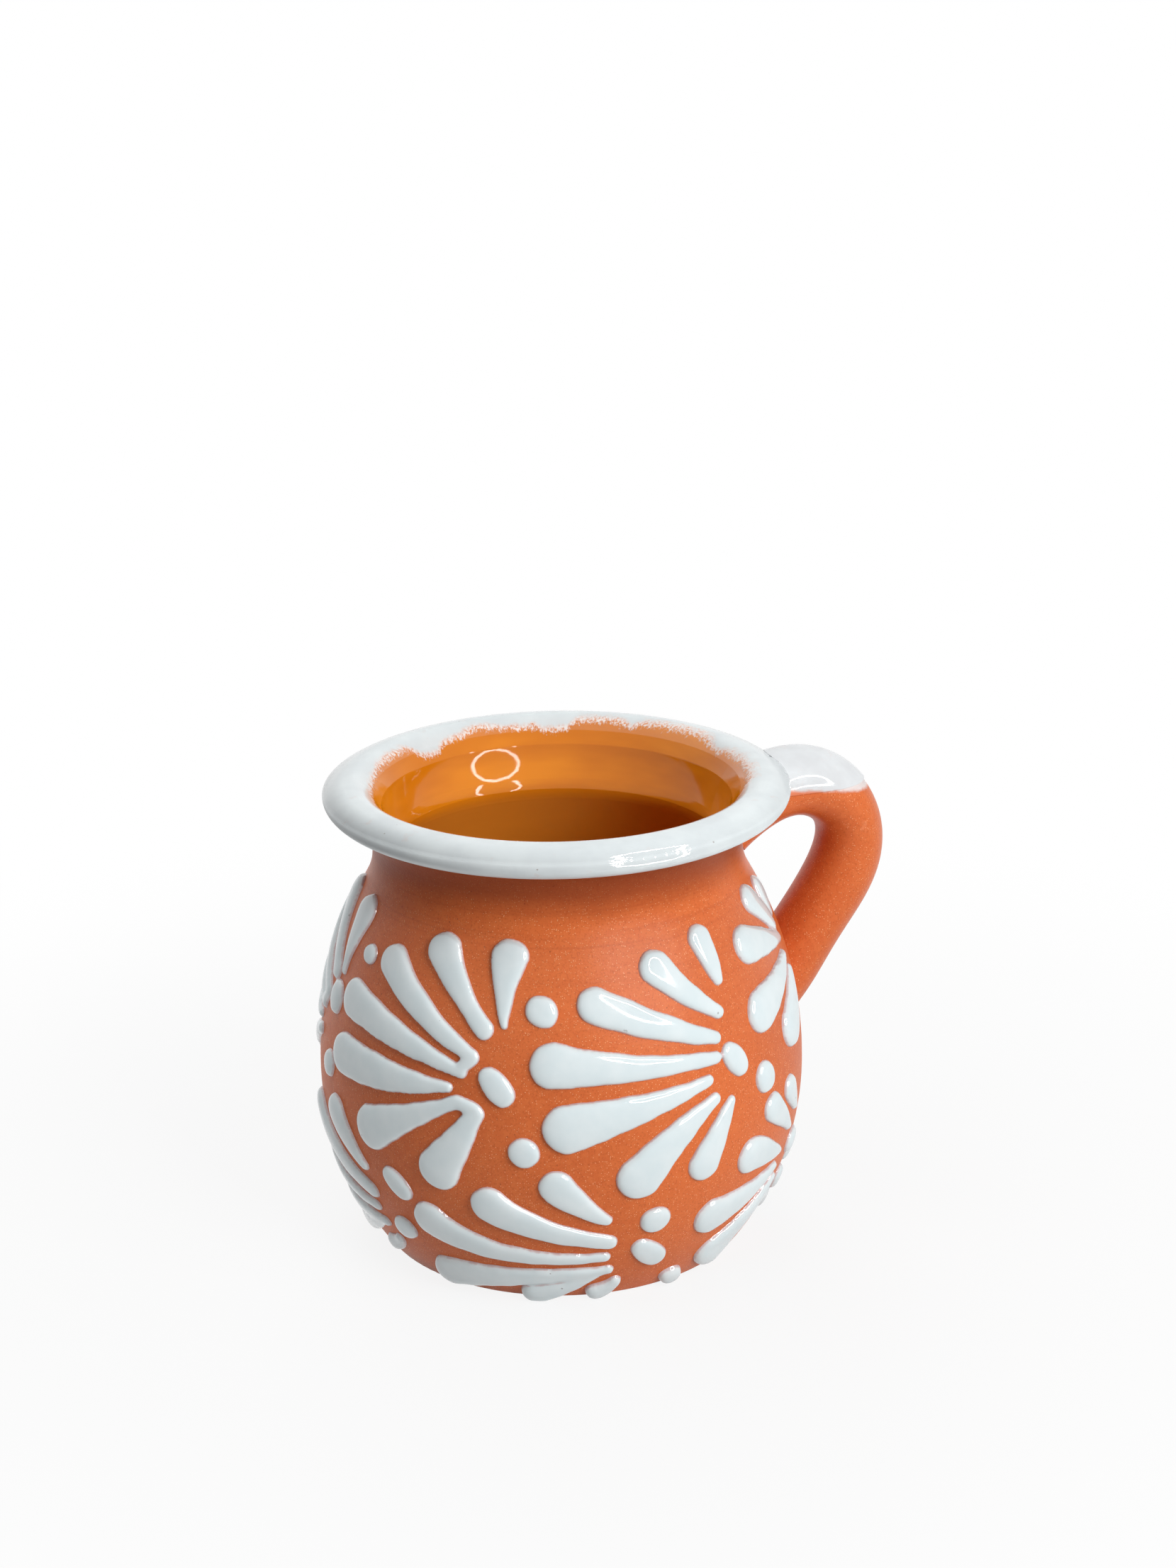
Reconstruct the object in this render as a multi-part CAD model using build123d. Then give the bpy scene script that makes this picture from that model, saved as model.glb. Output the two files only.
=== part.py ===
from build123d import *
import os
from math import asin, cos, radians, sin, sqrt

# A jarrito: a round-bellied clay mug with a rolled white lip, a loop handle and raised slip petals.
# Millimetres, +Z up, origin at the middle of the foot, handle along +X.

# Pot
height = 87.6              # clay only, the lip's coat lies on top of it
belly_radius = 45.0
belly_height = 32.5        # where the belly is widest
foot_radius = 34.0
foot_round = 1.6
neck_radius = 33.8         # narrowest
neck_drop = 12.8           # from the lip's crest down to where the neck is narrowest
neck_round = 12.0          # hollow curve of the neck
wall = 4.4
floor = 6.0
floor_round = 9.0
inner_neck_round = 5.0

# Rolled lip
lip_radius = 42.1          # outermost
lip_crest_radius = 37.2
lip_side_drop = 2.0        # from the crest down to the outermost ring
lip_under_drop = 6.2       # down to where the roll leaves the neck
lip_under_rise = 0.3       # rise of the roll's underside there for each unit outwards
lip_mouth_drop = 4.6       # down to the inner end of the roll
lip_mouth_radius = 32.2
lip_mouth_lean = 0.6       # inward lean of the roll's inner end for each unit of fall

# Glaze coats
coat = 0.4
lip_coat_drop = 5.3        # how far the white coat runs down the outside
mouth_coat_drop = 2.0      # and down the inside
handle_coat_drop = 6.6     # dip line on the handle

# Handle
handle_thickness = 12.4
handle_width = 15.0
handle_reach = 64.0        # from the mug's axis to the back of the grip
handle_crest_drop = 0.4    # from the lip's crest to the handle's crest
handle_lower_height = 43.0
handle_flare = 1.12        # how much the ends swell where they are pressed on
handle_flare_power = 4     # how close to the ends that swelling keeps
handle_root_sink = 2.5     # how deep the upper end starts inside the neck
handle_root_drop = 6.2     # and how far below the line of the handle's crest
handle_lip_tuck = 0.6      # where that line passes under the lip's edge
handle_lip_drop = 0.7
handle_foot_sink = 2.0     # the lower end goes into the belly here
handle_foot_end = 6.0      # and ends this deep
handle_foot_drop = 5.5     # and this far below

# Run of the handle's line as shares of its height: back from its reach, and down from its crest
handle_bends = ((0.30, 0), (0.09, 0.09), (0, 0.30), (0.08, 0.55))
handle_stations = (0, 0.1, 0.2, 0.34, 0.5, 0.66, 0.82, 0.92, 1)

# Raised slip
slip_relief = 0.55         # relief of the thinnest stroke
slip_relief_slope = 0.22   # extra relief for each millimetre of half width
slip_thin = 0.6            # a stroke's end is lower than that where its half width is under this
slip_edge_lean = 0.45      # inward lean of the stroke's edge for each unit of rise
slip_root = 0.3            # how deep a stroke starts under the clay's surface before it is trimmed
pattern_radius = 45.0      # belly radius that the strokes below are drawn for
pattern_height = 74.8      # neck height that they are drawn for

# Sections of a stroke: along its line from tail to head, and in its round ends as shares of their radius
petal_stations = (0, 0.15, 0.38, 0.62, 0.85, 1)
dot_stations = (0, 1)
station_step = 0.01        # how far apart two spots are that give the line's direction
cap_stations = (0.72, 0.985)

# Strokes of the fans. Each knot is (degrees round, millimetres up, half width) from the fan's focus,
# and a petal has three: its tail, its middle and its head. A dot has two.
wide_fan = [
    ((1, 10.5, 0.9), (1.5, 15.5, 1.9), (1.3, 21.2, 3.4)),
    ((-4, 9.8, 1.8), (-10.2, 14.6, 2.1), (-18, 21, 3.4)),
    ((-6.5, 5.6, 1.3), (-20, 10.7, 2.5), (-33.6, 16.9, 3.4)),
    ((-11, 2.5, 1.1), (-28.6, 5.8, 2.7), (-45.4, 8.1, 3.8)),
    ((-12, -1, 0.9), (-30, -1.8, 3.0), (-46, -2.2, 4.1)),
    ((-10.5, -3.6, 1.1), (-21.5, -7.8, 2.4), (-33.6, -12.7, 4.3)),
    ((-4.6, -5.6, 1.2), (-9.3, -10.4, 2.8), (-14.3, -16.5, 4.2)),
]
wide_dots = [
    ((-1.9, 1.4, 2.3), (1.3, -1.2, 2.3)),
    ((9, 13.2, 2.6), (10.6, 12.8, 2.6)),
    ((5.4, -11.6, 2.6), (6.6, -11.6, 2.6)),
]
tall_dots = [
    ((0.5, 6.5, 2.4), (0.5, 4.7, 2.4)),
    ((1.2, -5.9, 2.0), (1.2, -7.6, 2.0)),
    ((11, 16, 1.8), (12.4, 16, 1.8)),
]
long_fan = [
    ((0.1, 14.2, 1.3), (-0.8, 17.4, 2.0), (-1.9, 21.3, 2.6)),
    ((-2.4, 9.1, 1.3), (-9.6, 13.1, 2.1), (-17.6, 18.7, 3.2)),
    ((-4.8, 5, 1.2), (-22.4, 10.3, 2.7), (-34.7, 14.2, 3.4)),
    ((-5.6, 1.6, 1.2), (-26, 3.1, 2.4), (-45.2, 4.4, 4.1)),
    ((-8.2, -2, 1.0), (-27.5, -4.5, 2.9), (-42, -6.7, 4.6)),
    ((-6.6, -5.6, 1.1), (-16.8, -10.3, 2.8), (-26, -17, 4.4)),
    ((-2, -7, 0.9), (-6, -12, 2.2), (-9.9, -17.3, 3.4)),
]
long_dots = [
    ((-1, 1.6, 2.2), (1.6, -1.3, 2.2)),
    ((10.3, -5.2, 2.6), (10.6, -6.5, 2.6)),
]
low_fan = [
    ((-11.7, 5.8, 1.1), (-18.4, 9.7, 2.5), (-23, 13.2, 3.3)),
    ((-11, 0.7, 1.6), (-27, 4.3, 2.6), (-38.4, 8.7, 3.8)),
    ((-11.6, -2.9, 1.1), (-37.7, -1.6, 2.3), (-54.8, 2.9, 3.8)),
    ((-10.8, -6.2, 1.1), (-34, -7.7, 2.2), (-54, -9, 3.6)),
    ((-17, -8.6, 0.8), (-23.5, -9.8, 1.5), (-30, -10.6, 2.2)),
    ((-7.8, -9.5, 1.1), (-9.7, -10.2, 1.4), (-12, -10.9, 1.8)),
]
low_dots = [
    ((-0.5, 4.3, 2.6), (0.9, 4.3, 2.6)),
    ((-2.3, -1.8, 2.3), (2, -4.7, 2.3)),
    ((9.3, -10.8, 1.9), (10.8, -10.8, 1.9)),
]
left_dots = [
    ((-1.7, 6.3, 2.2), (1.6, 4.1, 2.2)),
    ((-2.7, -5.1, 2.4), (-1.3, -5.1, 2.4)),
]
middle_dot = [((-0.8, -0.5, 2.3), (0.8, -0.5, 2.3))]
handle_fan = [
    ((-6.5, 5.5, 1.2), (-6, 7.8, 2.0), (-5, 10, 2.4)),
    ((-8.5, 3.6, 1.2), (-12, 6.9, 2.2), (-16.5, 9.8, 3.0)),
    ((-8.5, 0.4, 1.2), (-18.5, 2.5, 2.6), (-28.6, 4.8, 3.7)),
    ((-8.5, -2.5, 1.2), (-19.5, -4.5, 2.8), (-30.6, -6.4, 4.2)),
    ((-7, -5.5, 1.3), (-11.5, -9.3, 2.8), (-16.5, -13, 4.0)),
]
side_fan = [
    ((-2.5, 10.5, 0.9), (-5, 13, 1.8), (-7, 15.5, 2.6)),
    ((-5.5, 6.8, 1.0), (-11, 10.8, 2.0), (-16.6, 15, 2.9)),
    ((-9, 3.2, 1.0), (-16.5, 5.6, 2.6), (-24, 7.9, 3.7)),
    ((-10.5, 0, 1.0), (-23, -1.8, 2.6), (-34.6, -2.2, 4.0)),
    ((-9, -4.2, 1.0), (-18.5, -8, 2.6), (-28, -11.3, 3.6)),
]
side_dots = [
    ((-0.5, 3, 2.4), (0.9, 3, 2.4)),
    ((-1, -4, 2.3), (1, -5.4, 2.3)),
]

# Where the fans stand: name, focus in degrees and millimetres, strokes, and how far they spread
# round and up. Those of the back are the front's strokes again, spread to the room there.
fans = [
    ("fan_upper_1", -20, 57, handle_fan, 1, 1),
    ("fan_upper_2", -64, 45, long_fan + long_dots, 1, 1),
    ("fan_upper_3", -122, 45.4, wide_fan + wide_dots, 1, 1),
    ("fan_upper_4", -178, 45.5, wide_fan[:6] + tall_dots, 1, 1),
    ("fan_upper_5", 124, 45.5, wide_fan + tall_dots, 1, 1),
    ("fan_upper_6", 66, 45, long_fan + long_dots[:1], 1, 1),
    ("fan_lower_1", -34, 17, side_fan + side_dots, 1, 1),
    ("fan_lower_2", -86, 14, low_fan + low_dots, 1, 1),
    ("fan_lower_3", -149.3, 17.5, low_fan + left_dots, 1, 1),
    ("fan_lower_4", 149, 12.3, low_fan[1:5] + middle_dot, 0.93, 0.85),
    ("fan_lower_5", 89.5, 12.3, low_fan[1:5] + middle_dot, 0.93, 0.85),
    ("fan_lower_6", 30, 12.3, low_fan[1:5] + middle_dot, 0.93, 0.85),
]

# Values worked out from the sizes above
neck_height = height - neck_drop
shoulder_rise = neck_height - belly_height
hollow_offset = neck_radius + neck_round - belly_radius
upper_arc = (hollow_offset**2 + shoulder_rise**2 - neck_round**2) / (2*(belly_radius - neck_radius))
lower_arc = ((belly_radius - foot_radius)**2 + belly_height**2) / (2*(belly_radius - foot_radius))
shoulder_lean = asin(shoulder_rise / (upper_arc + neck_round))
shoulder_height = belly_height + upper_arc*sin(shoulder_lean)
round_scale = belly_radius / pattern_radius
rise_scale = neck_height / pattern_height
stroke_scale = min(round_scale, rise_scale)


def outside_line(skin):
    """Outside of the pot from the foot up to the start of the lip's roll, grown by a skin."""
    foot = (foot_radius + skin, 0)
    belly = (belly_radius + skin, belly_height)
    arc = upper_arc + skin
    shoulder = (belly[0] - arc*(1 - cos(shoulder_lean)), belly_height + arc*sin(shoulder_lean))
    neck = (neck_radius + skin, neck_height)
    return [
        Line((0, 0), foot),
        TangentArc(belly, foot, tangent=(0, -1)),
        TangentArc(belly, shoulder, tangent=(0, 1)),
        ThreePointArc(shoulder, neck, lip_knots(skin)[0]),
    ]


def lip_knots(skin):
    """Underside, side, crest and mouth of the lip's roll, each moved outwards by a skin."""
    slant = skin*sqrt(0.5)
    hollow = neck_round - skin
    under = height - lip_under_drop - skin
    return [
        (neck_radius + neck_round - sqrt(hollow**2 - (under - neck_height)**2), under),
        (lip_radius + skin, height - lip_side_drop),
        (lip_crest_radius, height + skin),
        (lip_mouth_radius - slant, height - lip_mouth_drop + slant),
    ]


def lip_line(skin):
    """Roll of the lip, from its underside over the crest to the mouth."""
    return Spline(*lip_knots(skin), tangents=((1, lip_under_rise), (0, 1), (-1, 0), (-lip_mouth_lean, -1)))


def round_corner(face, corner, radius):
    return fillet(face.vertices().sort_by_distance((*corner, 0))[0], radius)


def pot_face(skin=0):
    """Half section of the pot's wall, with the radius along X and the height along Y."""
    inner_neck = (neck_radius - wall - skin, neck_height)
    inner_belly = (belly_radius - wall - skin, belly_height)
    inner_floor = floor + skin
    inner_arc = lower_arc - wall - skin
    inner_foot = (inner_belly[0] - inner_arc + sqrt(inner_arc**2 - (belly_height - inner_floor)**2), inner_floor)
    inside = [
        Line(lip_knots(skin)[-1], inner_neck),
        TangentArc(inner_belly, inner_neck, tangent=(0, 1)),
        TangentArc(inner_belly, inner_foot, tangent=(0, -1)),
        Line(inner_foot, (0, inner_floor)),
        Line((0, inner_floor), (0, 0)),
    ]
    face = make_face(outside_line(skin) + [lip_line(skin)] + inside)
    face = round_corner(face, (foot_radius + skin, 0), foot_round)
    face = round_corner(face, inner_neck, inner_neck_round + skin)
    return round_corner(face, inner_foot, floor_round - skin)


def filled_face(lip):
    """Half section of the pot as if it were solid, used to seat what is joined to its outside."""
    rim = [lip_line(0)] if lip else []
    edge = lip_knots(0)[-1] if lip else lip_knots(0)[0]
    top = [Line(edge, (0, edge[1])), Line((0, edge[1]), (0, 0))]
    face = make_face(outside_line(0) + rim + top)
    if lip:
        face += zone(0, lip_crest_radius, edge[1], height)
    return round_corner(face, (foot_radius, 0), foot_round)


def turned(face):
    """Spin a half section round the mug's axis."""
    return revolve(Plane.XZ * face, Axis.Z)


def zone(r0, r1, z0, z1):
    """Rectangle of the half section between two radii and two heights."""
    return Pos((r0 + r1)/2, (z0 + z1)/2) * Rectangle(r1 - r0, z1 - z0)


def handle_loop(extra):
    """Handle as a loft of oval sections along its loop, grown all round by the given extra."""
    axis_reach = handle_reach - handle_thickness/2
    axis_crest = height - handle_crest_drop - handle_thickness/2
    drop = axis_crest - handle_lower_height
    path = Spline(
        (neck_radius - handle_root_sink, 0, axis_crest - handle_root_drop),
        (lip_radius - handle_lip_tuck, 0, axis_crest - handle_lip_drop),
        *[(axis_reach - back*drop, 0, axis_crest - down*drop) for back, down in handle_bends],
        (belly_radius - handle_foot_sink, 0, handle_lower_height),
        (belly_radius - handle_foot_end, 0, handle_lower_height - handle_foot_drop),
    )
    sections = []
    for station in handle_stations:
        swell = 1 + (handle_flare - 1)*abs(2*station - 1)**handle_flare_power
        plane = Plane(path @ station, x_dir=(0, 1, 0), z_dir=path % station)
        oval = Ellipse(handle_width*swell/2 + extra, handle_thickness*swell/2 + extra)
        sections.append((plane * oval).face())
    return loft(sections)


def surface_arc(z):
    """Radius of the wall's curve at a height, negative where it is hollow."""
    if z > shoulder_height:
        return -neck_round
    return upper_arc if z > belly_height else lower_arc


def surface_lean(z):
    """Angle of the pot's outward normal above the level, at a height."""
    middle = neck_height if z > shoulder_height else belly_height
    return asin((z - middle) / surface_arc(z))


def surface_radius(z):
    widest = neck_radius if z > shoulder_height else belly_radius
    return widest - surface_arc(z)*(1 - cos(surface_lean(z)))


def surface_point(angle, z):
    """Point on the belly and the outward normal there."""
    lean = surface_lean(z)
    turn = radians(angle)
    radius = surface_radius(z)
    normal = Vector(cos(lean)*cos(turn), cos(lean)*sin(turn), sin(lean))
    return Vector(radius*cos(turn), radius*sin(turn), z), normal


def surface_fall(z, side, reach):
    """How far the clay falls away from its tangent plane, a reach out along a side direction."""
    lean = surface_lean(z)
    climb = side.Z / cos(lean)
    curvature = climb**2/surface_arc(z) + (1 - climb**2)*cos(lean)/surface_radius(z)
    return curvature*reach**2/2


def knot_curve(knots, t):
    """Value on the straight line or parabola through two or three knots, spread over t from 0 to 1."""
    if len(knots) == 2:
        return knots[0] + (knots[1] - knots[0])*t
    tail, middle, head = knots
    return tail*(1 - t)*(1 - 2*t) + 4*middle*t*(1 - t) + head*t*(2*t - 1)


def slip_stroke(knots):
    """One raised stroke of slip: a domed loft that follows the belly and has round ends."""
    angles = [knot[0] for knot in knots]
    heights = [knot[1] for knot in knots]
    widths = [knot[2] for knot in knots]

    def spot(t):
        return surface_point(knot_curve(angles, t), knot_curve(heights, t))

    places = [surface_point(angle, z)[0] for angle, z in zip(angles, heights)]
    length = sum((b - a).length for a, b in zip(places, places[1:]))
    along = dot_stations if len(knots) == 2 else petal_stations
    stations = [(-cap*widths[0]/length, widths[0]*sqrt(1 - cap**2)) for cap in reversed(cap_stations)]
    stations += [(t, knot_curve(widths, t)) for t in along]
    stations += [(1 + cap*widths[-1]/length, widths[-1]*sqrt(1 - cap**2)) for cap in cap_stations]
    sections = []
    for t, half_width in stations:
        centre, normal = spot(t)
        ahead = (spot(t + station_step)[0] - spot(t - station_step)[0]).normalized()
        side = normal.cross(ahead).normalized()
        fall = surface_fall(knot_curve(heights, t), side, half_width) + slip_root
        rise = (slip_relief + slip_relief_slope*half_width) * min(1, half_width/slip_thin)
        left = (-half_width, -fall)
        right = (half_width, -fall)
        dome = Spline(left, (0, rise), right, tangents=((slip_edge_lean, 1), (slip_edge_lean, -1)))
        sections.append(Plane(centre, x_dir=side, z_dir=ahead) * Wire([dome.edge(), Line(right, left).edge()]))
    return Solid.make_loft(sections)


def slip_fan(focus_angle, focus_height, strokes, spread, lift):
    """All the strokes of one fan, trimmed so that they sit on the clay."""
    solids = []
    for stroke in strokes:
        knots = [
            (focus_angle + angle*spread, (focus_height + up*lift)*rise_scale, half_width*stroke_scale)
            for angle, up, half_width in stroke
        ]
        solids += (slip_stroke(knots) - belly_seat).solids()
    return Compound(children=solids)


pot_section = pot_face()
filled_section = filled_face(lip=True)
clay_body = turned(pot_section)
pot_seat = turned(filled_section)
belly_seat = turned(filled_face(lip=False))

coated_section = pot_face(coat)
cavity = filled_section - pot_section
lip_zone = zone(lip_crest_radius, 2*lip_radius, height - lip_coat_drop, 2*height)
lip_zone += zone(0, lip_crest_radius, height - mouth_coat_drop, 2*height)
inside_glaze = turned((coated_section & cavity) - lip_zone)

loop = handle_loop(0)
handle = loop - pot_seat
lip_glaze = turned((coated_section - pot_section) & lip_zone) - loop
above_dip = Pos(0, 0, height - handle_coat_drop) * Box(
    4*handle_reach, 4*handle_width, height, align=(Align.CENTER, Align.CENTER, Align.MIN))
handle_glaze = (handle_loop(coat) & above_dip) - loop - pot_seat - lip_glaze

os.makedirs("parts", exist_ok=True)
export_step(clay_body, "parts/clay_body.step")
export_step(handle, "parts/handle.step")
export_step(lip_glaze, "parts/lip_glaze.step")
export_step(inside_glaze, "parts/inside_glaze.step")
export_step(handle_glaze, "parts/handle_glaze.step")
for name, focus_angle, focus_height, strokes, spread, lift in fans:
    export_step(slip_fan(focus_angle, focus_height, strokes, spread, lift), f"parts/{name}.step")
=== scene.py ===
import math

import bpy
import numpy as np
from mathutils import Matrix, Vector


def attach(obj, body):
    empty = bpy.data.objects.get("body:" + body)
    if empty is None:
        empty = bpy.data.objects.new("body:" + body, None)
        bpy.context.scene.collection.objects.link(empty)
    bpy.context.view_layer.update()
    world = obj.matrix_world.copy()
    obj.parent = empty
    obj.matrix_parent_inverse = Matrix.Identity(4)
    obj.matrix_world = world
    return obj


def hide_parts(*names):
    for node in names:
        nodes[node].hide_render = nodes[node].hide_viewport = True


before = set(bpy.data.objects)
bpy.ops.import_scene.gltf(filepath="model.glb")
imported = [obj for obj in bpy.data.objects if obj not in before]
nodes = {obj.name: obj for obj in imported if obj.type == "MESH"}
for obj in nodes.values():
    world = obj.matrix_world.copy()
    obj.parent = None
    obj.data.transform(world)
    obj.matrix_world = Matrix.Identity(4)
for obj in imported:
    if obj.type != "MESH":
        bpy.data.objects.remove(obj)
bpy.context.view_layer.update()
scene = bpy.context.scene
scene.view_settings.view_transform = "Standard"

MM = 0.001

# Clay wall that the slip lies on, in millimetres: two arcs that meet where the belly is widest,
# and a hollow neck
belly_radius = 45.0
belly_height = 32.5
foot_radius = 34.0
neck_radius = 33.8
neck_height = 74.8
neck_round = 12.0
crest_height = 88.0
neck_rise = neck_height - belly_height
neck_pull = belly_radius - neck_radius
upper_arc = ((neck_round - neck_pull)**2 + neck_rise**2 - neck_round**2) / (2*neck_pull)
lower_arc = ((belly_radius - foot_radius)**2 + belly_height**2) / (2*(belly_radius - foot_radius))
shoulder_height = belly_height + neck_rise*upper_arc/(upper_arc + neck_round)

# Slip strokes, lengths in millimetres
slip_relief = 0.55         # relief of the thinnest stroke
slip_relief_slope = 0.21   # extra relief for each millimetre of half width
slip_fullness = 2.5        # 2 is a round bead, more has a flatter top and steeper sides
slip_merge = 0.22          # how softly touching strokes run together
slip_wobble = 0.13         # unsteadiness of the outline
wobble_waves = [           # of angle in degrees and of height, and their phase
    (0.62, 0.31, 1.3),
    (0.27, -0.83, 0.4),
    (1.05, 0.97, 0.0),
]
dot_end = 0.93             # share of its width that a dot has at its ends
dot_swell = 0.16           # and how much more it has in its middle
slip_root = 0.14           # how deep the outline is sunk in the clay
slip_foot = 0.35           # lowest that the outline reaches on the clay
slip_clearance = 0.1       # from the slip's lowest point to the floor
slip_pool = 0.9            # how much thicker it has run together at the foot
slip_pool_top = 7.0        # height where that starts
slip_pool_full = 1.0       # and where it is complete
mesh_pitch = 0.24          # between the points of the grid
mesh_margin = 5.0          # of the grid round a fan's knots
outline_rounds = 4         # steps that pull the grid's rim onto the outline
outline_probe = 0.02       # distance over which the outline's slope is measured
outline_flattest = 0.25    # least squared slope, so that no step runs away
soften_rounds = 2          # times that the heights are averaged

# A dark fleck of iron in one stroke
fleck_angle = -92.25       # degrees round
fleck_height = 54.4
fleck_lift = 1.2           # above the clay

# Heights where the clay changes, in millimetres
polish_low, polish_high = 35.0, 58.0
lines_low, lines_high = 50.0, 66.0     # where the throwing lines gain colour
lines_start = 40.0                     # and where their relief starts to grow
# painted shade: the clay is darkened in this band under the lip, where the lip's shadow falls
lip_shade_low, lip_shade_high = 72.5, 79.5       # band under the lip
sheen_low, sheen_high = 42.0, 56.0
dull_low, dull_high = 66.0, 75.0

# Edges and swellings of the glaze, in millimetres
dip_start = 45.0           # from the mug's axis, where the dip line on the handle starts
dip_height = 81.6          # of that line there
dip_fall = 0.15            # its fall for each unit outwards
grip_start, grip_end = 52.0, 61.0      # from the axis, where the rubbed streaks fade in
lip_crest_radius = 37.2    # outside this ring the coat covers the lip
lip_coat_drop = 9.5        # more than the coat reaches down there
coat_depth = 9.0           # well past the coat's edge, either way
lip_flank_low, lip_flank_high = 83.8, 86.4
lip_flank_swell = 0.9      # how much fuller the flank is below
lip_brow_radius = 38.6     # from there outwards the lip falls off
lip_brow_curve = 95        # per metre
hollow_height = 81.3       # where the lining's hollow is deepest
hollow_low, hollow_high = -6.3, 1.8    # from there, where it ends
hollow_curve = 28          # per metre
pale_top, pale_full = 75.5, 72.0       # throat, below which the amber is paler
# painted shade: the amber darkens towards the bottom of the mug's inside
lining_shade_top, lining_shade_full = 69.0, 30.0       # and the part that darkens towards the bottom

# Edge of the white coat inside: degrees round, and millimetres down from the crest
white_edge_scale = 10      # millimetres at the top of the curve's graph
white_edge = [
    (0, 1.3), (4, 1.3), (11, 1.8), (18, 1.1), (25, 0.8), (39, 0.9), (46, 1.3), (48, 1.8),
    (50, 1.2), (57, 1.1), (66, 1.4), (69, 2.5), (74, 2.7), (80, 2.2), (90, 2.0), (97, 1.4),
    (105, 2.1), (113, 2.7), (119, 3.9), (129, 1.6), (140, 1.6), (162, 2.4), (190, 1.8),
    (214, 2.7), (240, 1.7), (262, 2.3), (290, 1.5), (318, 2.4), (342, 1.1), (360, 1.3),
]

# Knots are (degrees round, millimetres up, half width) from the fan's focus, from tail to head
wide_fan = [
    ((1.0, 10.4, 0.7), (0.5, 15.6, 1.9), (1.1, 21.2, 3.4)),
    ((-3.9, 9.5, 1.9), (-10.1, 14.3, 2.1), (-18.0, 20.9, 3.4)),
    ((-6.6, 4.8, 1.4), (-20.1, 10.4, 2.4), (-33.7, 16.8, 3.4)),
    ((-8.7, 1.8, 1.1), (-28.7, 5.6, 2.75), (-45.5, 7.9, 3.8)),
    ((-11.9, -1.2, 0.95), (-30.1, -2.1, 3.1), (-46.2, -2.4, 4.1)),
    ((-9.4, -3.4, 1.2), (-21.6, -8.0, 2.4), (-33.7, -13.0, 4.4)),
    ((-4.8, -5.2, 1.5), (-9.4, -10.7, 2.8), (-14.4, -16.8, 4.2)),
    ((-6.4, 4.6, 1.3), (-9.4, 2.2, 1.1)),
    ((-9.4, -3.4, 1.2), (-5.4, -4.4, 1.4)),
]
wide_dots = [
    ((-1.9, 1.3, 2.3), (1.3, -1.3, 2.4)),
    ((9.2, 13.3, 2.5), (10.7, 12.5, 2.6)),
    ((5.6, -11.6, 2.6), (6.4, -11.7, 2.6)),
]
tall_dots = [
    ((0.5, 6.5, 2.4), (0.5, 4.7, 2.5)),
    ((1.2, -5.9, 2.0), (1.2, -7.6, 2.1)),
    ((11.3, 16.2, 1.8), (12.1, 15.8, 1.8)),
]
long_fan = [
    ((0.1, 14.1, 1.2), (-0.9, 17.7, 2.1), (-1.9, 21.3, 2.6)),
    ((-2.4, 9.1, 1.35), (-9.6, 13.0, 2.1), (-17.8, 18.8, 3.2)),
    ((-4.6, 4.9, 1.3), (-22.4, 10.2, 2.7), (-34.9, 14.1, 3.3)),
    ((-5.3, 1.6, 1.3), (-26.0, 3.0, 2.4), (-45.3, 4.4, 4.15)),
    ((-8.1, -2.0, 1.1), (-27.4, -4.5, 2.9), (-42.1, -6.7, 4.6)),
    ((-6.6, -5.6, 1.2), (-16.7, -10.3, 2.8), (-26.0, -17.0, 4.4)),
    ((-1.9, -7.0, 1.0), (-6.0, -12.0, 2.3), (-9.9, -17.3, 3.4)),
]
long_dots = [
    ((-1.0, 1.6, 2.1), (1.7, -1.3, 2.4)),
    ((10.3, -5.2, 2.5), (10.8, -6.6, 2.7)),
]
low_fan = [
    ((-11.5, 5.7, 1.1), (-18.3, 9.6, 2.5), (-22.9, 13.2, 3.3)),
    ((-10.8, 0.7, 1.7), (-26.9, 4.3, 2.6), (-38.3, 8.7, 3.8)),
    ((-11.5, -2.9, 1.15), (-37.6, -1.6, 2.3), (-54.7, 2.9, 3.9)),
    ((-10.4, -6.3, 1.2), (-34.0, -7.7, 2.4), (-54.0, -9.1, 3.7)),
    ((-12.5, -6.9, 0.9), (-22.5, -10.2, 2.0), (-30.0, -11.6, 2.6)),
    ((-7.8, -9.6, 1.2), (-10.0, -11.0, 1.7), (-12.6, -11.8, 2.0)),
]
low_dots = [
    ((-0.2, 4.3, 2.6), (0.8, 4.3, 2.7)),
    ((-2.2, -1.8, 2.3), (2.2, -4.8, 2.5)),
    ((9.4, -11.2, 2.0), (10.5, -11.4, 2.0)),
]
left_dots = [
    ((-1.7, 6.3, 2.2), (1.6, 4.1, 2.3)),
    ((-2.4, -5.0, 2.4), (-1.6, -5.2, 2.5)),
]
middle_dot = [((-0.8, -0.5, 2.3), (0.8, -0.5, 2.4))]
handle_fan = [
    ((-6.5, 5.5, 1.2), (-6.0, 7.8, 2.0), (-5.0, 10.0, 2.4)),
    ((-8.5, 3.8, 1.2), (-12.2, 7.0, 2.2), (-16.9, 10.4, 3.0)),
    ((-8.9, 1.4, 1.2), (-18.7, 3.3, 2.6), (-29.0, 5.1, 3.7)),
    ((-9.6, -1.8, 1.2), (-20.3, -4.2, 2.8), (-30.9, -6.2, 4.2)),
    ((-7.9, -5.1, 1.3), (-12.2, -9.2, 2.8), (-17.2, -12.9, 4.1)),
]
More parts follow.
